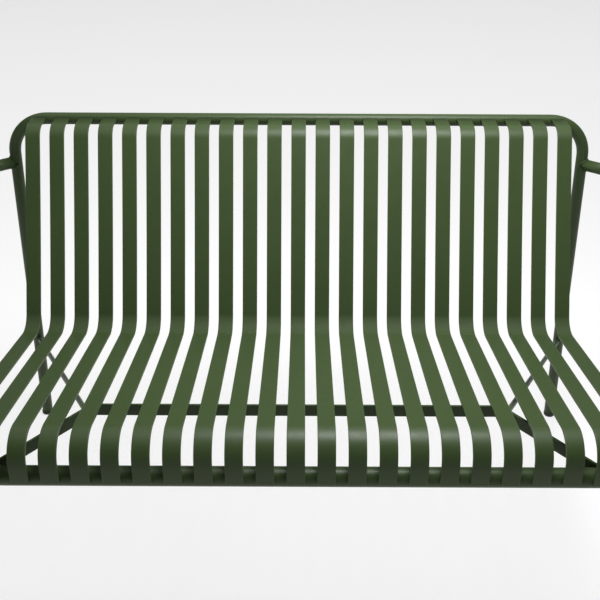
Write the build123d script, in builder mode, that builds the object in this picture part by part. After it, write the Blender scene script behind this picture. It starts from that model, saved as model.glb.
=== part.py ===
from build123d import *
import math
import os

# A welded steel garden bench. All sizes are in millimetres.
# X runs along the bench, the front faces -Y, Z is up from the floor, and the
# origin is on the floor under the middle of the whole bench.

# Overall sizes
overall_depth = 741.5  # fronts of the slats to the backs of the rear feet
back_height = 790.5  # floor to the top of the top rail

# Tubes
tube_diameter = 25.0  # rear frame, armrests and front legs
tube_wall = 2.0
rail_diameter = 33.7  # front rail
rail_wall = 2.6
weld_gap = 0.2  # left between welded pieces, where the weld bead lies

# Slats
slat_count = 23
slat_pitch = 50.0
slat_width = 30.0
slat_thickness = 4.5
seat_front_height = 488.3  # corner of the seat's and the front drop's upper faces
seat_back_height = 412.7  # corner of the seat's and the back's upper faces
seat_depth = 464.9  # between those two corners
front_drop = 89.3  # front corner down to the slats' lower ends
tail_length = 71.5  # top rail's axis forward to the corner at the head of the back
tail_rise = 6.7  # tail's upper face above the top rail's axis
back_bow = 3.0  # middle of the back behind the straight line
head_radius = 38.0
bow_radius = 8000.0
waist_radius = 42.0
front_radius = 50.0

# Rear frame
side_gap_top = 65.0  # outermost slat's centre to the rear leg's centre, at the top rail
leg_splay = 2.1  # degrees that each rear leg leans outwards towards the floor
frame_corner_radius = 80.0

# Armrests with front legs
arm_gap = 130.0  # outermost slat's centre to the armrest's centre
arm_below_rail = 98.0  # armrest's axis below the top rail's axis
arm_turn = 50.0  # degrees from straight ahead at which the armrest leaves the rear leg
arm_rear_radius = 60.0
arm_front_radius = 70.0
rail_stop = 4.0  # front rail's ends stop this far short of the front legs' axes

# Brace under the seat
brace_from_front = 135.0
brace_half_length = 358.0
brace_depth = 22.5
brace_thickness = 5.0
brace_spread = 160.0  # brace arm's run outwards, from the bar's end to the front rail
brace_arm_lower = 3.0  # brace arm's start below the bar's, clear of the slat above it
stay_diameter = 10.0
stay_from_bend = 6.3  # stay's axis along the brace arm from the bar's end
stay_foot_height = 225.0  # where the stay meets the rear leg

# Feet
foot_wall = 1.0  # foot's edge outside the tube
foot_height = 9.0
foot_round = 4.0
plug_length = 16.0
plug_clearance = 0.5

# Worked-out places
tube_radius = tube_diameter / 2
rail_radius = rail_diameter / 2
foot_radius = tube_radius + foot_wall
slat_front_y = -overall_depth / 2
rear_frame_y = overall_depth / 2 - foot_radius
top_rail_z = back_height - tube_radius
outer_slat_x = (slat_count - 1) / 2 * slat_pitch
rail_y = slat_front_y + slat_thickness + weld_gap + rail_radius
rail_z = seat_front_height - front_drop
arm_x = outer_slat_x + arm_gap
arm_z = top_rail_z - arm_below_rail
tube_end_z = foot_height + weld_gap
seat_back_y = slat_front_y + seat_depth
seat_angle = math.atan2(seat_front_height - seat_back_height, seat_depth)
brace_y = slat_front_y + brace_from_front
sides = {"left": -1, "right": 1}


def leg_x(height):
    # Distance of the rear legs' axes from the middle, at a height above the floor.
    return outer_slat_x + side_gap_top + math.tan(math.radians(leg_splay)) * (top_rail_z - height)


def seat_underside(y):
    # Height of the slats' lower face along the straight part of the seat.
    upper = seat_back_height + math.tan(seat_angle) * (seat_back_y - y)
    return upper - slat_thickness / math.cos(seat_angle)


def save(part, name):
    part.label = name
    export_step(part, f"parts/{name}.step")


def tube_section(radius, wall):
    Circle(radius)
    Circle(radius - wall, mode=Mode.SUBTRACT)


def cut_round_rear_leg(side):
    # Shapes the end of a piece to the round rear leg that it is welded to.
    foot = Vector(side * leg_x(0), rear_frame_y, 0)
    head = Vector(side * leg_x(top_rail_z), rear_frame_y, top_rail_z)
    with BuildSketch(Plane(origin=foot, z_dir=head - foot)) as leg:
        Circle(tube_radius + weld_gap)
    extrude(leg.sketch, amount=(head - foot).length, mode=Mode.SUBTRACT)


def cut_round_front_rail():
    with BuildSketch(Plane.YZ) as rail:
        with Locations((rail_y, rail_z)):
            Circle(rail_radius + weld_gap)
    extrude(rail.sketch, amount=arm_x, both=True, mode=Mode.SUBTRACT)


# One slat's upper face, from the top rail to its lower end, as seen along X
tail_z = top_rail_z + tail_rise
head_y = rear_frame_y - tail_length
slat_corners = [
    (rear_frame_y, tail_z),
    (head_y, tail_z),
    ((head_y + seat_back_y) / 2 + back_bow, (tail_z + seat_back_height) / 2),
    (seat_back_y, seat_back_height),
    (slat_front_y, seat_front_height),
    (slat_front_y, rail_z),
]
slat_bends = [head_radius, bow_radius, waist_radius, front_radius]


def make_slat(x):
    with BuildPart() as slat:
        with BuildSketch(Plane.YZ.offset(x)):
            with BuildLine():
                upper = FilletPolyline(*slat_corners, radius=slat_bends)
                offset(upper, amount=slat_thickness, side=Side.LEFT)
            make_face()
            with Locations((rear_frame_y, top_rail_z)):
                Circle(tube_radius + weld_gap, mode=Mode.SUBTRACT)
        extrude(amount=slat_width / 2, both=True)
    return slat.part


def make_arm(side):
    leave_x = leg_x(arm_z)
    turn_y = rear_frame_y - (arm_x - leave_x) / math.tan(math.radians(arm_turn))
    corners = [
        (side * leave_x, rear_frame_y, arm_z),
        (side * arm_x, turn_y, arm_z),
        (side * arm_x, rail_y, arm_z),
        (side * arm_x, rail_y, tube_end_z),
    ]
    with BuildPart() as arm:
        with BuildLine():
            path = FilletPolyline(*corners, radius=[arm_rear_radius, arm_front_radius])
        with BuildSketch(Plane(origin=path @ 0, z_dir=path % 0)):
            tube_section(tube_radius, tube_wall)
        sweep(path=path)
        cut_round_rear_leg(side)
    return arm.part


def brace_arm_line(side):
    # From the bar's end to the front rail's axis, and the horizontal direction square to it.
    start = Vector(side * brace_half_length, brace_y, brace_middle_z - brace_arm_lower)
    end = Vector(side * (brace_half_length + brace_spread), rail_y, rail_z)
    along = (end - start).normalized()
    rearward = Vector(-side * along.Y, side * along.X, 0).normalized()
    return start, end, along, rearward


def make_brace_arm(side):
    start, end, along, rearward = brace_arm_line(side)
    bar_end = Vector(side * (brace_half_length + weld_gap), 0, 0)
    with BuildPart() as brace_arm:
        with BuildSketch(Plane(origin=start - along * brace_depth, x_dir=rearward, z_dir=along)):
            Rectangle(brace_thickness, brace_depth)
        extrude(amount=(end - start).length + brace_depth)
        split(bisect_by=Plane(origin=bar_end, z_dir=(side, 0, 0)), keep=Keep.TOP)
        cut_round_front_rail()
    return brace_arm.part


def make_stay(side):
    # The front end is cut flat against the rear face of the brace arm.
    arm_start, arm_end, along, rearward = brace_arm_line(side)
    start = arm_start + along * stay_from_bend
    arm_face = start + rearward * (brace_thickness / 2 + weld_gap)
    end = Vector(side * leg_x(stay_foot_height), rear_frame_y, stay_foot_height)
    with BuildPart() as stay:
        with BuildSketch(Plane(origin=start, z_dir=end - start)):
            Circle(stay_diameter / 2)
        extrude(amount=(end - start).length)
        split(bisect_by=Plane(origin=arm_face, z_dir=rearward), keep=Keep.TOP)
        cut_round_rear_leg(side)
    return stay.part


def make_foot(x, y, lean):
    # Stands flat on the floor, while its plug leans with the tube that it closes.
    plug_axis = (math.sin(math.radians(lean)), 0, math.cos(math.radians(lean)))
    with BuildPart() as foot:
        with BuildSketch(Plane.XY):
            with Locations((x, y)):
                Circle(foot_radius)
        extrude(amount=foot_height)
        fillet(foot.edges().group_by(Axis.Z)[0], foot_round)
        with BuildSketch(Plane(origin=(x, y, 0), z_dir=plug_axis).offset(foot_height - foot_round)):
            Circle(tube_radius - tube_wall - plug_clearance)
        extrude(amount=foot_round + plug_length)
    return foot.part


os.makedirs("parts", exist_ok=True)

# Rear frame: one tube, bent to an upside-down U
rear_corners = [
    (-leg_x(0), 0),
    (-leg_x(top_rail_z), top_rail_z),
    (leg_x(top_rail_z), top_rail_z),
    (leg_x(0), 0),
]
with BuildPart() as rear_frame:
    with BuildLine(Plane.XZ.offset(-rear_frame_y)):
        rear_path = FilletPolyline(*rear_corners, radius=frame_corner_radius)
    with BuildSketch(Plane(origin=rear_path @ 0, z_dir=rear_path % 0)):
        tube_section(tube_radius, tube_wall)
    sweep(path=rear_path)
    split(bisect_by=Plane.XY.offset(tube_end_z), keep=Keep.TOP)
save(rear_frame.part, "rear_frame")

# Slats, from left to right
for number in range(slat_count):
    slat_x = number * slat_pitch - outer_slat_x
    save(make_slat(slat_x), f"slat_{number + 1:02d}")

# Front rail, its ends cut to fit round the front legs
with BuildPart() as front_rail:
    with BuildSketch(Plane.YZ):
        with Locations((rail_y, rail_z)):
            tube_section(rail_radius, rail_wall)
    extrude(amount=arm_x - rail_stop, both=True)
    with BuildSketch(Plane.XY):
        with Locations((-arm_x, rail_y), (arm_x, rail_y)):
            Circle(tube_radius + weld_gap)
    extrude(amount=arm_z, mode=Mode.SUBTRACT)
save(front_rail.part, "front_rail")

# Brace bar: flat bar on edge, its top edge cut to the slope of the slats above it
brace_front_y = brace_y - brace_thickness / 2
brace_rear_y = brace_y + brace_thickness / 2
brace_top_z = seat_underside(brace_y) - weld_gap
brace_middle_z = brace_top_z - brace_depth / 2
with BuildPart() as brace_bar:
    with BuildSketch(Plane.YZ):
        with BuildLine():
            Polyline(
                (brace_front_y, brace_top_z - brace_depth),
                (brace_rear_y, brace_top_z - brace_depth),
                (brace_rear_y, seat_underside(brace_rear_y) - weld_gap),
                (brace_front_y, seat_underside(brace_front_y) - weld_gap),
                close=True,
            )
        make_face()
    extrude(amount=brace_half_length, both=True)
save(brace_bar.part, "brace_bar")

# Pieces that come in pairs
for side_name, side in sides.items():
    save(make_arm(side), f"arm_{side_name}")
    save(make_brace_arm(side), f"brace_arm_{side_name}")
    save(make_stay(side), f"stay_{side_name}")
    save(make_foot(side * leg_x(0), rear_frame_y, -side * leg_splay), f"foot_rear_{side_name}")
    save(make_foot(side * arm_x, rail_y, 0), f"foot_front_{side_name}")
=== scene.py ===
import math
import bpy
import numpy as np
from mathutils import Matrix, Vector


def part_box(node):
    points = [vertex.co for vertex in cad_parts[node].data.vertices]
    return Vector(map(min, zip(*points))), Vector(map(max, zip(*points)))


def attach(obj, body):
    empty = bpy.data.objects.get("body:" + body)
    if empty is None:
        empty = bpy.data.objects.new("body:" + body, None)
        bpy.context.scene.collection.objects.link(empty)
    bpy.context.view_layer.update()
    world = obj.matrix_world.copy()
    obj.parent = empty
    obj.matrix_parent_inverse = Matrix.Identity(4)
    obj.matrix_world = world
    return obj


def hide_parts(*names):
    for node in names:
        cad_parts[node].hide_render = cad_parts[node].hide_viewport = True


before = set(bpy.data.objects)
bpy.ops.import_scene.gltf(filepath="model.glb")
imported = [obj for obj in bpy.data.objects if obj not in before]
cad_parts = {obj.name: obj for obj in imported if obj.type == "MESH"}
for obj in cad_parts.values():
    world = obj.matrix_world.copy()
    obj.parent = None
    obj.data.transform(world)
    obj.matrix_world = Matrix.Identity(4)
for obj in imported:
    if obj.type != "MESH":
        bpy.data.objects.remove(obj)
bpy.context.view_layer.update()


# camera: a view down onto the seat from in front and above, square to the front
camera = {
    "place": (.0105, -1.47325, 1.369),
    "tiltDown": 29.47,
    "roll": .26,
    "lens": 52.9,
    "shiftX": -.0050,
}


def makeCamera(settings):
    data = bpy.data.cameras.new("camera")
    data.lens = settings["lens"]
    data.shift_x = settings["shiftX"]
    seen = bpy.data.objects.new("camera", data)
    bpy.context.scene.collection.objects.link(seen)
    seen.location = settings["place"]
    tilt = Matrix.Rotation(math.radians(90 - settings["tiltDown"]), 3, "X")
    roll = Matrix.Rotation(math.radians(settings["roll"]), 3, "Z")
    seen.rotation_euler = (tilt @ roll).to_euler()
    bpy.context.scene.camera = seen


makeCamera(camera)
bpy.context.scene.view_settings.view_transform = "Standard"
print("camera set")


# material helpers
def addNode(tree, kind, **inputs):
    node = tree.nodes.new(kind)
    for name, value in inputs.items():
        node.inputs[name].default_value = value
    return node


def addNoise(tree, coords, scale, detail):
    node = addNode(tree, "ShaderNodeTexNoise", Scale=scale, Detail=detail, Roughness=.5)
    tree.links.new(coords.outputs["Object"], node.inputs["Vector"])
    return node.outputs["Fac"]


def addRange(tree, value, low, high, fromLow=.3, fromHigh=.7):
    node = tree.nodes.new("ShaderNodeMapRange")
    node.inputs["From Min"].default_value = fromLow
    node.inputs["From Max"].default_value = fromHigh
    node.inputs["To Min"].default_value = low
    node.inputs["To Max"].default_value = high
    tree.links.new(value, node.inputs["Value"])
    return node.outputs["Result"]


def addMix(tree, factor, first, second):
    node = tree.nodes.new("ShaderNodeMix")
    node.data_type = "RGBA"
    tree.links.new(factor, node.inputs["Factor"])
    for socket, colour in (("A", first), ("B", second)):
        if isinstance(colour, tuple):
            node.inputs[socket].default_value = (*colour, 1)
        else:
            tree.links.new(colour, node.inputs[socket])
    return node.outputs["Result"]


def addAttribute(tree, name):
    node = tree.nodes.new("ShaderNodeAttribute")
    node.attribute_name = name
    return node.outputs["Fac"]


def addMath(tree, operation, first, second):
    node = tree.nodes.new("ShaderNodeMath")
    node.operation = operation
    tree.links.new(first, node.inputs[0])
    if isinstance(second, float):
        node.inputs[1].default_value = second
    else:
        tree.links.new(second, node.inputs[1])
    return node.outputs[0]


def addBump(tree, height, strength, distance, under=None):
    node = addNode(tree, "ShaderNodeBump", Strength=strength, Distance=distance)
    tree.links.new(height, node.inputs["Height"])
    if under is not None:
        tree.links.new(under, node.inputs["Normal"])
    return node.outputs["Normal"]


# powder coat: a thin baked paint with a fine pebbled skin, slightly paler where it thins over edges
oliveCoat = {
    "colour": (.032, .052, .0175),
    "deeper": (.029, .0475, .016),
    "thin": (.046, .070, .028),
    "specular": .18,
    "roughLow": .38,
    "roughHigh": .45,
    "hollowRough": .3,   # added where the coat lies thick inside a bend
    "roughPatches": 60,  # patches per metre between the two
    "clouds": 6,         # patches per metre of the deeper colour
    "flecks": 420,       # flecks per metre where an edge's coat is thin
    "fleckShare": (.1, .7),  # least and most of the thin coat's colour there
    "pebble": 900,       # bumps per metre of the skin
    "pebbleHeight": .00005,
    "pebbleStrength": .5,
    "flow": 140,         # slower waves where the paint flowed
    "flowHeight": .00012,
    "flowStrength": .35,
}


def makePowderCoat(name, settings):
    material = bpy.data.materials.new(name)
    material.use_nodes = True
    tree = material.node_tree
    shader = tree.nodes["Principled BSDF"]
    coords = tree.nodes.new("ShaderNodeTexCoord")
    cloud = addNoise(tree, coords, settings["clouds"], 4)
    fleck = addRange(tree, addNoise(tree, coords, settings["flecks"], 2), *settings["fleckShare"])
    tint = addMix(tree, addRange(tree, cloud, 0, 1), settings["deeper"], settings["colour"])
    worn = addMath(tree, "MULTIPLY", addAttribute(tree, "edge"), fleck)
    tree.links.new(addMix(tree, worn, tint, settings["thin"]), shader.inputs["Base Color"])
    patch = addNoise(tree, coords, settings["roughPatches"], 3)
    rough = addRange(tree, patch, settings["roughLow"], settings["roughHigh"])
    thick = addMath(tree, "MULTIPLY", addAttribute(tree, "hollow"), settings["hollowRough"])
    tree.links.new(addMath(tree, "ADD", rough, thick), shader.inputs["Roughness"])
    wave = addNoise(tree, coords, settings["flow"], 2)
    flow = addBump(tree, wave, settings["flowStrength"], settings["flowHeight"])
    pebble = addNoise(tree, coords, settings["pebble"], 2)
    skin = addBump(tree, pebble, settings["pebbleStrength"], settings["pebbleHeight"], flow)
    tree.links.new(skin, shader.inputs["Normal"])
    shader.inputs["Specular IOR Level"].default_value = settings["specular"]
    return material


blackPlastic = {
    "colour": (.012, .012, .012),
    "scuffed": (.045, .044, .042),
    "scuffs": 190,       # scuffs per metre
    "scuffFrom": .55,    # noise above which the scuffs show
    "scuffFull": .8,
    "roughLow": .5,
    "roughHigh": .68,
    "roughPatches": 300,
    "grain": 1500,
    "grainHeight": .00004,
    "grainStrength": .6,
}


def makeMouldedPlastic(name, settings):
    material = bpy.data.materials.new(name)
    material.use_nodes = True
    tree = material.node_tree
    shader = tree.nodes["Principled BSDF"]
    coords = tree.nodes.new("ShaderNodeTexCoord")
    scuffNoise = addNoise(tree, coords, settings["scuffs"], 5)
    scuff = addRange(tree, scuffNoise, 0, 1, settings["scuffFrom"], settings["scuffFull"])
    tint = addMix(tree, scuff, settings["colour"], settings["scuffed"])
    tree.links.new(tint, shader.inputs["Base Color"])
    patch = addNoise(tree, coords, settings["roughPatches"], 3)
    rough = addRange(tree, patch, settings["roughLow"], settings["roughHigh"])
    tree.links.new(rough, shader.inputs["Roughness"])
    grain = addNoise(tree, coords, settings["grain"], 2)
    skin = addBump(tree, grain, settings["grainStrength"], settings["grainHeight"])
    tree.links.new(skin, shader.inputs["Normal"])
    return material


coat = makePowderCoat("oliveCoat", oliveCoat)
plastic = makeMouldedPlastic("blackPlastic", blackPlastic)
print("materials made")


# shape helpers, all on whole arrays
def unit(vectors):
    return vectors / np.linalg.norm(vectors, axis=-1, keepdims=True)


# A corner is replaced by an arc of its radius that touches both runs:
# point = centre + (start - centre) cos a + direction radius sin a, for a from 0 to the turn.
def roundedPath(corners, bends, turnStep=4, support=.002):
    corners = np.array(corners, float)
    points, tangents = [corners[:1]], [unit(corners[1:2] - corners[:1])]
    for before, corner, after, radius in zip(corners, corners[1:], corners[2:], bends):
        arrive, leave = unit(corner - before), unit(after - corner)
        turn = math.acos(arrive @ leave)
        start = corner - arrive * radius * math.tan(turn / 2)
        end = corner + leave * radius * math.tan(turn / 2)
        centre = corner + unit(leave - arrive) * radius / math.cos(turn / 2)
        angle = np.linspace(0, turn, max(4, math.ceil(math.degrees(turn) / turnStep)) + 1)[:, None]
        arc = centre + (start - centre) * np.cos(angle) + arrive * radius * np.sin(angle)
        along = arrive * np.cos(angle) + (centre - start) / radius * np.sin(angle)
        points += [start[None] - arrive * support, arc, end[None] + leave * support]
        tangents += [arrive[None], along, leave[None]]
    points.append(corners[-1:])
    tangents.append(unit(corners[-1:] - corners[-2:-1]))
    return np.concatenate(points), np.concatenate(tangents)


def sideVectors(tangents, first):  # the first side vector carried along without twisting
    sides = [np.array(first, float)]
    for tangent in tangents:
        last = sides[-1]
        sides.append(unit(last - (last @ tangent) * tangent))
    return np.array(sides[1:])


def circleSection(radius, count=48):  # radius times (cos a, sin a)
    angle = np.arange(count) * 2 * np.pi / count
    return radius * np.stack([np.cos(angle), np.sin(angle)], -1)


# A rectangle whose corners are quarter circles: inner corner + edge (cos a, sin a),
# with one more point a little way along each flat to keep the flats flat.
def barSection(width, thickness, edge, inset=0, steps=5, support=.0006):
    quarter = np.arange(4)[:, None] * np.pi / 2
    angle = quarter + np.linspace(0, np.pi / 2, steps)[None]
    signs = np.array([[1, 1], [-1, 1], [-1, -1], [1, -1]])[:, None, :]
    middle = signs * (np.array([width, thickness]) / 2 - edge)
    arc = middle + (edge - inset) * np.stack([np.cos(angle), np.sin(angle)], -1)
    before = np.stack([np.sin(quarter), -np.cos(quarter)], -1) * support
    after = np.stack([-np.cos(quarter), -np.sin(quarter)], -1) * support
    return np.concatenate([arc[:, :1] + before, arc, arc[:, -1:] + after], 1).reshape(-1, 2)


def carryAlong(section, points, tangents, first):  # point + a side + b (tangent x side)
    side = sideVectors(tangents, first)
    up = np.cross(tangents, side)
    if section.ndim == 2:
        section = np.broadcast_to(section, (len(points), *section.shape))
    return points[:, None] + section[..., :1] * side[:, None] + section[..., 1:] * up[:, None]


# Slides points along a direction until they lie on a round bar: the larger root of
# |point + s direction - axis|^2 = radius^2, measured square to the bar's axis.
def meetRound(ring, direction, axisPoint, axisDirection, radius):
    axis = unit(np.array(axisDirection, float))
    away = ring - np.array(axisPoint, float)
    away = away - (away @ axis)[:, None] * axis
    slide = direction - (direction @ axis) * axis
    a, b, c = slide @ slide, away @ slide, (away ** 2).sum(-1) - radius ** 2
    root = np.sqrt(np.maximum(b * b - a * c, 0))
    return ring + ((root - b) / a)[:, None] * direction


def meetPlane(ring, direction, planePoint, planeNormal):
    normal = np.array(planeNormal, float)
    gap = (np.array(planePoint, float) - ring) @ normal
    return ring + (gap / (direction @ normal))[:, None] * direction


# Quads between neighbouring stations, and a fan of triangles over each end. A shade is given for
# one open grid: a value for each of its points, and zero at the middles of the two fans.
def makeSurface(name, grids, material, loop=False, **shades):
    points, faces, smooth, offset = [], [], [], 0
    for grid in grids:
        along, around = grid.shape[:2]
        i, j = np.meshgrid(np.arange(along if loop else along - 1), np.arange(around), indexing="ij")
        here, there = i * around, (i + 1) % along * around
        onward = (j + 1) % around
        quads = np.stack([here + j, here + onward, there + onward, there + j], -1).reshape(-1, 4)
        points.append(grid.reshape(-1, 3))
        faces += (quads + offset).tolist()
        smooth += [True] * len(quads)
        if not loop:
            ring, ringOn = np.arange(around), (np.arange(around) + 1) % around
            last = (along - 1) * around
            middles = offset + along * around
            points.append(np.stack([grid[0].mean(0), grid[-1].mean(0)]))
            startFan = [np.full(around, middles), ringOn + offset, ring + offset]
            endFan = [np.full(around, middles + 1), ring + last + offset, ringOn + last + offset]
            faces += np.stack(startFan, -1).tolist() + np.stack(endFan, -1).tolist()
            smooth += [False] * (2 * around)
        offset = sum(len(p) for p in points)
    mesh = bpy.data.meshes.new(name)
    mesh.from_pydata(np.concatenate(points).tolist(), [], faces)
    mesh.polygons.foreach_set("use_smooth", smooth)
    for shadeName, shade in shades.items():
        values = np.append(shade.ravel(), [0, 0])
        mesh.attributes.new(shadeName, "FLOAT", "POINT").data.foreach_set("value", values)
    mesh.materials.append(material)
    mesh.update()
    piece = bpy.data.objects.new(name, mesh)
    bpy.context.scene.collection.objects.link(piece)
    return piece


def finishPiece(piece, slotName, *nodes):
    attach(piece, "root")
    if nodes:
        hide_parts(*nodes)


# A weld seam: a small round bead along a line, its radius rippling by a sine of the length run,
# and, where it isn't a loop, swelling from a tenth of it at both ends.
seam = {
    "radius": .0017,
    "slatRadius": .0015,
    "barRadius": .0013,  # round the brace's arms and stays
    "ripple": .0021,
    "rippleDepth": .13,
    "taper": 3,          # radii over which an end swells
    "step": .0006,
    "sides": 10,
}


def beadGrid(line, outward, loop, settings, radius=None):
    line, outward = np.array(line, float), np.array(outward, float)
    if loop:
        line = np.concatenate([line, line[:1]])
        outward = np.concatenate([outward, outward[:1]])
    run = np.concatenate([[0], np.cumsum(np.linalg.norm(np.diff(line, axis=0), axis=1))])
    count = max(8, int(run[-1] / settings["step"]))
    at = np.linspace(0, run[-1], count, endpoint=not loop)
    points = np.stack([np.interp(at, run, line[:, k]) for k in range(3)], -1)
    out = unit(np.stack([np.interp(at, run, outward[:, k]) for k in range(3)], -1))
    if loop:
        tangents = unit(np.roll(points, -1, 0) - np.roll(points, 1, 0))
    else:
        tangents = unit(np.gradient(points, axis=0))
    out = unit(out - (out * tangents).sum(-1, keepdims=True) * tangents)
    waves = max(1, round(run[-1] / settings["ripple"]))
    size = 1 + settings["rippleDepth"] * np.sin(at / run[-1] * waves * 2 * np.pi)
    if not loop:
        fromEnd = np.minimum(at, run[-1] - at) / (settings["taper"] * settings["radius"])
        size = size * np.sqrt(np.clip(fromEnd, .01, 1))
    size = size * (radius or settings["radius"])
    ring = circleSection(1, settings["sides"])
    side = np.cross(tangents, out)
    across = ring[None, :, :1] * out[:, None] + ring[None, :, 1:] * side[:, None]
    return points[:, None] + size[:, None, None] * across


# places taken from the frame
slatNodes = sorted(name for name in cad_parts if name.startswith("slat_"))
sides = {"left": -1, "right": 1}
rearLow, rearHigh = (np.array(corner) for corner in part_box("rear_frame"))
railLow, railHigh = (np.array(corner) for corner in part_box("front_rail"))
armHigh = np.array(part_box("arm_right")[1])
barLow, barHigh = (np.array(corner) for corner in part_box("brace_bar"))
lastLow, lastHigh = (np.array(corner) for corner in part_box(slatNodes[-1]))
tubeRadius = (rearHigh[1] - rearLow[1]) / 2
topRail = np.array([0, (rearHigh[1] + rearLow[1]) / 2, rearHigh[2] - tubeRadius])
frontRail = (railLow + railHigh) / 2
railRadius = (railHigh[2] - railLow[2]) / 2
outerSlat = (lastLow[0] + lastHigh[0]) / 2
footCentre = {}
for part in ("foot_rear_left", "foot_rear_right", "foot_front_left", "foot_front_right"):
    low, high = (np.array(corner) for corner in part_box(part))
    footCentre[part] = (low + high) / 2


# slats: flat bar, bent from the top rail down the back, along the seat and over its front
slat = {
    "thickness": .0045,
    "edge": .0011,          # rounding of the long edges
    "rimShare": .6,         # rounding of the lower end, as a share of that
    "paleBand": 1.05,       # width of the paler band on each upper long edge, as a share too
    "paleDepth": .7,        # and how far down the bar's side it goes, as a share of the thickness
    "tailLength": .0715,    # top rail's axis to the corner at the head of the back
    "backBow": .003,        # middle of the back behind the straight line
    "frontDrop": .0893,     # front corner above the lower end
    "seatDepth": .4649,
    "seatRise": .0756,
    "bends": (.038, 8, .042, .050),
    "hollowReach": .0305,   # from the waist's corner to the ends of its bend
    "hollowFade": .008,
}


def slatCorners(low, high, settings):
    front, foot, tail = low[1], low[2], high[2]
    head = topRail[1] - settings["tailLength"]
    frontTop = foot + settings["frontDrop"]
    waist, waistHeight = front + settings["seatDepth"], frontTop - settings["seatRise"]
    middle = ((head + waist) / 2 + settings["backBow"], (tail + waistHeight) / 2)
    outline = [
        (topRail[1], tail),
        (head, tail),
        middle,
        (waist, waistHeight),
        (front, frontTop),
        (front, foot),
    ]
    return [((low[0] + high[0]) / 2, y, z) for y, z in outline]


def makeSlat(node, settings):
    low, high = (np.array(corner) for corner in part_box(node))
    corners = slatCorners(low, high, settings)
    points, tangents = roundedPath(corners, settings["bends"])
    width, thickness, edge = high[0] - low[0], settings["thickness"], settings["edge"]
    lower = np.array([0, -thickness / 2])  # the path is the upper face, so the bar hangs below it
    section = barSection(width, thickness, edge) + lower
    turn = np.linspace(0, np.pi / 2, 4)
    rim = edge * settings["rimShare"]
    endRun = rim * (np.sin(turn) - 1)  # the lower end's rim is a quarter round too
    endInset = rim * (1 - np.cos(turn))
    endSections = [barSection(width, thickness, edge, inset) + lower for inset in endInset]
    points = np.concatenate([points[:-1], points[-1:] + endRun[:, None] * tangents[-1]])
    tangents = np.concatenate([tangents[:-1], np.repeat(tangents[-1:], 4, 0)])
    sections = np.concatenate([np.repeat(section[None], len(points) - 4, 0), endSections])
    grid = carryAlong(sections, points, tangents, (1, 0, 0))
    grid[0] = meetRound(grid[0], tangents[0], topRail, (1, 0, 0), tubeRadius)
    beside = np.abs(section[:, 0]) > width / 2 - edge * settings["paleBand"]
    above = section[:, 1] > -thickness * settings["paleDepth"]
    onEdge = np.repeat((beside & above)[None], len(points), 0)
    fromWaist = np.linalg.norm(points - np.array(corners[3]), axis=1)
    inBend = np.clip((settings["hollowReach"] - fromWaist) / settings["hollowFade"], 0, 1)
    hollow = np.repeat(inBend[:, None], len(section), 1)
    piece = makeSurface(node + "_bar", [grid], coat, edge=onEdge.astype(float), hollow=hollow)
    finishPiece(piece, "slat_coat", node)


for node in slatNodes:
    makeSlat(node, slat)
print("slats made:", len(slatNodes))


# rear frame: one tube bent to an upside-down U
rearFrame = {"sideGapTop": .065, "cornerRadius": .080, "tubeEnd": .0092}
legFoot = {s: footCentre["foot_rear_" + s] * (1, 1, 0) for s in sides}
headX = outerSlat + rearFrame["sideGapTop"]
legHead = {s: topRail + np.array([side * headX, 0, 0]) for s, side in sides.items()}
legUp = {s: unit(legHead[s] - legFoot[s]) for s in sides}


def onLeg(sideName, height):
    foot, up = legFoot[sideName], legUp[sideName]
    return foot + up * height / up[2]


def makeRearFrame(settings):
    corners = [legFoot["left"], legHead["left"], legHead["right"], legFoot["right"]]
    points, tangents = roundedPath(corners, [settings["cornerRadius"]] * 2)
    grid = carryAlong(circleSection(tubeRadius), points, tangents, (0, 1, 0))
    for end in (0, -1):
        grid[end] = meetPlane(grid[end], tangents[end], (0, 0, settings["tubeEnd"]), (0, 0, 1))
    finishPiece(makeSurface("rear_frame_tube", [grid], coat), "frame_coat", "rear_frame")


makeRearFrame(rearFrame)


# armrests: tubes that leave the rear legs, run forward and bend down into the front legs
arm = {
    "turn": 50,          # degrees from straight ahead at the rear leg
    "rearRadius": .060,
    "frontRadius": .070,
    "tubeEnd": .0092,
    "seamLift": .0006,
}
seams = []


def makeArm(sideName, settings):
    side = sides[sideName]
    armX, armHeight = side * (armHigh[0] - tubeRadius), armHigh[2] - tubeRadius
    leave = onLeg(sideName, armHeight)
    turnY = leave[1] - abs(armX - leave[0]) / math.tan(math.radians(settings["turn"]))
    frontY = footCentre["foot_front_" + sideName][1]
    corners = [
        leave,
        (armX, turnY, armHeight),
        (armX, frontY, armHeight),
        (armX, frontY, settings["tubeEnd"]),
    ]
    points, tangents = roundedPath(corners, (settings["rearRadius"], settings["frontRadius"]))
    grid = carryAlong(circleSection(tubeRadius), points, tangents, (0, 0, 1))
    grid[0] = meetRound(grid[0], tangents[0], legFoot[sideName], legUp[sideName], tubeRadius)
    outward = grid[0] - grid[0].mean(0)
    seams.append(beadGrid(grid[0] + unit(outward) * settings["seamLift"], outward, True, seam))
    piece = makeSurface(f"arm_{sideName}_tube", [grid], coat)
    finishPiece(piece, "frame_coat", "arm_" + sideName)


# front rail: a thicker tube behind the slats' lower ends, its ends shaped to the front legs
rail = {"endRun": .03, "sides": 64, "flankShare": .98, "seamLift": .0004}


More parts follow.
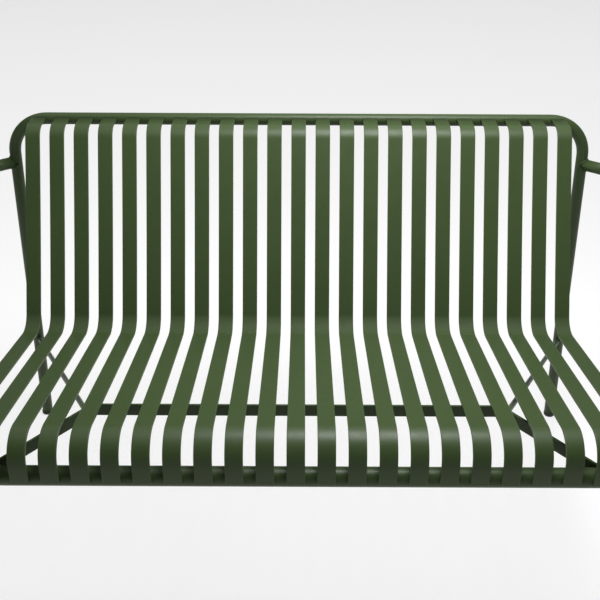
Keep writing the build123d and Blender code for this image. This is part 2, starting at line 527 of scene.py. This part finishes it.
def makeFrontRail(settings):
    legX, run = armHigh[0] - tubeRadius, settings["endRun"]
    stop = legX - railHigh[0]
    y, z = frontRail[1], frontRail[2]
    points = np.array([(-legX, y, z), (-legX + run, y, z), (legX - run, y, z), (legX, y, z)])
    tangents = np.repeat([[1., 0, 0]], 4, 0)
    section = circleSection(railRadius, settings["sides"])
    grid = carryAlong(section, points, tangents, (0, 1, 0))
    for end, way in ((0, 1), (-1, -1)):
        ring = meetRound(grid[end], way * tangents[0], points[end], (0, 0, 1), tubeRadius)
        flank = np.abs(ring[:, 1] - y) > tubeRadius * settings["flankShare"]  # past the leg's sides
        ring[flank, 0] = points[end][0] + way * stop
        grid[end] = ring
        outward = ring - (points[end] * (0, 1, 1) + ring * (1, 0, 0))
        seams.append(beadGrid(ring + unit(outward) * settings["seamLift"], outward, True, seam))
    finishPiece(makeSurface("front_rail_tube", [grid], coat), "frame_coat", "front_rail")


for sideName in sides:
    makeArm(sideName, arm)
makeFrontRail(rail)
print("tube frame made")


# brace under the seat: flat bar on edge, an arm at each end to the front rail,
# and a round stay from each arm to the rear leg
brace = {
    "edge": .0007,
    "rimShare": .6,         # rounding of the bar's ends, as a share of that
    "rimRuns": (.0004, .002),
    "spread": .160,         # arm's run outwards
    "armLower": .003,       # arm's start below the bar's middle
    "armRuns": (.012, .035),
    "stayRadius": .005,
    "stayFromBend": .0063,
    "stayFoot": .225,       # height at the rear leg
    "stayRuns": (.02, .03),
    "staySides": 24,
    "seamLift": .0003,
}


def makeBrace(settings):
    thickness, half = barHigh[1] - barLow[1], barHigh[0]
    slope = slat["seatRise"] / slat["seatDepth"]
    depth = barHigh[2] - slope * thickness / 2 - barLow[2]
    middle = np.array([0, (barLow[1] + barHigh[1]) / 2, barLow[2] + depth / 2])
    section = barSection(thickness, depth, settings["edge"])
    inner = barSection(thickness, depth, settings["edge"], settings["edge"] * settings["rimShare"])
    rim, inward = settings["rimRuns"]
    run = np.array([-half, rim - half, inward - half, half - inward, half - rim, half])
    points = middle + run[:, None] * (1, 0, 0)
    tangents = np.repeat([[1., 0, 0]], 6, 0)
    sections = np.stack([inner, section, section, section, section, inner])
    grid = carryAlong(sections, points, tangents, (0, 1, 0))
    grid[..., 2] -= np.where(grid[..., 2] > middle[2], slope * (grid[..., 1] - middle[1]), 0)
    finishPiece(makeSurface("brace_bar_flat", [grid], coat), "frame_coat", "brace_bar")
    for sideName, side in sides.items():
        start = middle + (side * half, 0, -settings["armLower"])
        end = np.array([side * (half + settings["spread"]), frontRail[1], frontRail[2]])
        along = unit(end - start)
        across = unit(np.array([-side * along[1], side * along[0], 0]))
        makeBraceArm(sideName, start, end, along, across, section, settings)
        makeStay(sideName, start + along * settings["stayFromBend"], across, thickness, settings)


def makeBraceArm(sideName, start, end, along, across, section, settings):
    first, last = settings["armRuns"]
    points = np.array([start, start + along * first, end - along * last, end])
    grid = carryAlong(section, points, np.repeat(along[None], 4, 0), across)
    grid[0] = meetPlane(grid[0], along, start, (1, 0, 0))
    grid[-1] = meetRound(grid[-1], -along, frontRail, (1, 0, 0), railRadius)
    for ring, away in ((grid[0], along), (grid[-1], -along)):
        outward = ring - ring.mean(0)
        line = ring + away * settings["seamLift"]
        seams.append(beadGrid(line, outward, True, seam, seam["barRadius"]))
    piece = makeSurface(f"brace_arm_{sideName}_flat", [grid], coat)
    finishPiece(piece, "frame_coat", "brace_arm_" + sideName)


def makeStay(sideName, start, across, armThickness, settings):
    end = onLeg(sideName, settings["stayFoot"])
    along = unit(end - start)
    first, last = settings["stayRuns"]
    points = np.array([start, start + along * first, end - along * last, end])
    section = circleSection(settings["stayRadius"], settings["staySides"])
    grid = carryAlong(section, points, np.repeat(along[None], 4, 0), unit(np.cross(along, (0, 0, 1))))
    grid[0] = meetPlane(grid[0], along, start + across * armThickness / 2, across)
    grid[-1] = meetRound(grid[-1], -along, legFoot[sideName], legUp[sideName], tubeRadius)
    for ring in (grid[0], grid[-1]):
        seams.append(beadGrid(ring, ring - ring.mean(0), True, seam, seam["barRadius"]))
    finishPiece(makeSurface(f"stay_{sideName}_rod", [grid], coat), "frame_coat", "stay_" + sideName)


makeBrace(brace)
print("brace made")


# seams where every slat meets the top rail from below, and the front rail at its lower end
slatSeam = {"endGap": .0015, "upperSink": (.0005, .0003), "lowerSink": (.0004, .0006)}


def slatSeams(settings):
    upper, lower = [], []
    upperY, upperZ = settings["upperSink"]
    lowerY, lowerZ = settings["lowerSink"]
    for node in slatNodes:
        low, high = (np.array(corner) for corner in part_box(node))
        reach = (low[0] + settings["endGap"], high[0] - settings["endGap"])
        under = high[2] - slat["thickness"]
        crookY = topRail[1] - math.sqrt(tubeRadius ** 2 - (under - topRail[2]) ** 2)
        line = [(x, crookY - upperY, under - upperZ) for x in reach]
        upper.append(beadGrid(line, [(0, -1, -1)] * 2, False, seam, seam["slatRadius"]))
        backY = low[1] + slat["thickness"]
        line = [(x, backY - lowerY, low[2] - lowerZ) for x in reach]
        lower.append(beadGrid(line, [(0, -1, -1)] * 2, False, seam, seam["slatRadius"]))
    finishPiece(makeSurface("seams_top_rail", upper, coat), "frame_coat")
    finishPiece(makeSurface("seams_front_rail", lower, coat), "frame_coat")


slatSeams(slatSeam)
finishPiece(makeSurface("seams_frame", seams, coat, loop=True), "frame_coat")
print("weld seams made")


# feet: moulded caps, a profile of radius and height turned about an upright axis
foot = {
    "height": .009,
    "round": .004,
    "lip": .0007,
    "groove": .0005,        # depth of the groove under the lip
    "grooveHeights": (.0052, .0055, .0059, .0062),
    "recess": .0006,        # hollow in the middle of the underside
    "recessShares": (.6, .8, .84),
    "padEdge": .0004,
    "neck": .001,           # neck's depth inside the tube's outside, and its rise into the tube's end
}


def makeFoot(node, settings):
    low, high = (np.array(corner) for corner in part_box(node))
    radius, centre = (high[0] - low[0]) / 2, (low + high) / 2
    angle = np.linspace(0, np.pi / 2, 8)
    lip, height, groove = settings["lip"], settings["height"], settings["groove"]
    corner, recess, neck = settings["round"], settings["recess"], settings["neck"]
    bottom = radius - corner
    hollow = [bottom * share for share in settings["recessShares"]]
    profile = [(hollow[0], recess), (hollow[1], recess)]
    profile += [(hollow[2], 0), (bottom - settings["padEdge"], 0)]
    profile += [(bottom + corner * math.sin(a), corner * (1 - math.cos(a))) for a in angle]
    grooveRadii = (radius, radius - groove, radius - groove, radius)
    profile += list(zip(grooveRadii, settings["grooveHeights"]))
    profile += [(radius - lip + lip * math.cos(a), height - lip + lip * math.sin(a)) for a in angle]
    profile += [(tubeRadius - neck, height), (tubeRadius - neck, height + neck)]
    profile = np.array(profile)
    ring = circleSection(1)
    grid = np.empty((len(profile), len(ring), 3))
    grid[..., 0] = centre[0] + profile[:, None, 0] * ring[None, :, 0]
    grid[..., 1] = centre[1] + profile[:, None, 0] * ring[None, :, 1]
    grid[..., 2] = profile[:, None, 1]
    finishPiece(makeSurface(node + "_cap", [grid], plastic), "foot_plastic", node)


for node in footCentre:
    makeFoot(node, foot)
print("feet made")


# studio: a wide pale floor that glows a little, a soft box above the seat, a broad weak
# ceiling, and a surround that is pale near the floor and dark higher up
studio = {
    "floorColour": (.3, .3, .3),
    "floorRoughness": .9,
    "floorGlow": .7,
    "floorSize": 30,
    "horizon": .7,          # brightness of the surround near the floor
    "zenith": .03,          # and higher up, so that it adds little light
    "horizonHeight": .2,    # sine of the height angle at which it has faded
    "softbox": {"place": (.22, -.04, 1.81), "size": (.65, .6), "watts": 32, "aim": (.15, 0, .5)},
    "ceiling": {"place": (0, 1.5, 5), "size": (9, 7), "watts": 215, "aim": (0, 1, 0)},
}


def makeFloor(settings):
    material = bpy.data.materials.new("paleFloor")
    material.use_nodes = True
    shader = material.node_tree.nodes["Principled BSDF"]
    shader.inputs["Base Color"].default_value = (*settings["floorColour"], 1)
    shader.inputs["Roughness"].default_value = settings["floorRoughness"]
    shader.inputs["Emission Color"].default_value = (1, 1, 1, 1)
    shader.inputs["Emission Strength"].default_value = settings["floorGlow"]
    half = settings["floorSize"] / 2
    mesh = bpy.data.meshes.new("floor")
    corners = [(-half, -half, 0), (half, -half, 0), (half, half, 0), (-half, half, 0)]
    mesh.from_pydata(corners, [], [(0, 1, 2, 3)])
    mesh.materials.append(material)
    floor = bpy.data.objects.new("floor", mesh)
    bpy.context.scene.collection.objects.link(floor)


def makeLight(name, settings):
    data = bpy.data.lights.new(name, "AREA")
    data.shape = "RECTANGLE"
    data.size, data.size_y = settings["size"]
    data.energy = settings["watts"]
    light = bpy.data.objects.new(name, data)
    bpy.context.scene.collection.objects.link(light)
    light.location = settings["place"]
    down = Vector(settings["aim"]) - Vector(settings["place"])
    light.rotation_euler = down.to_track_quat("-Z", "Y").to_euler()


def makeSurround(settings):
    world = bpy.data.worlds.new("surround")
    bpy.context.scene.world = world
    world.use_nodes = True
    tree = world.node_tree
    coords = tree.nodes.new("ShaderNodeTexCoord")
    split = tree.nodes.new("ShaderNodeSeparateXYZ")
    tree.links.new(coords.outputs["Generated"], split.inputs["Vector"])
    height, brightness = split.outputs["Z"], (settings["horizon"], settings["zenith"])
    fade = addRange(tree, height, *brightness, 0, settings["horizonHeight"])
    tree.links.new(fade, tree.nodes["Background"].inputs["Strength"])
    tree.nodes["Background"].inputs["Color"].default_value = (1, 1, 1, 1)


makeFloor(studio)
for name in ("softbox", "ceiling"):
    makeLight(name, studio[name])
makeSurround(studio)
print("studio made")
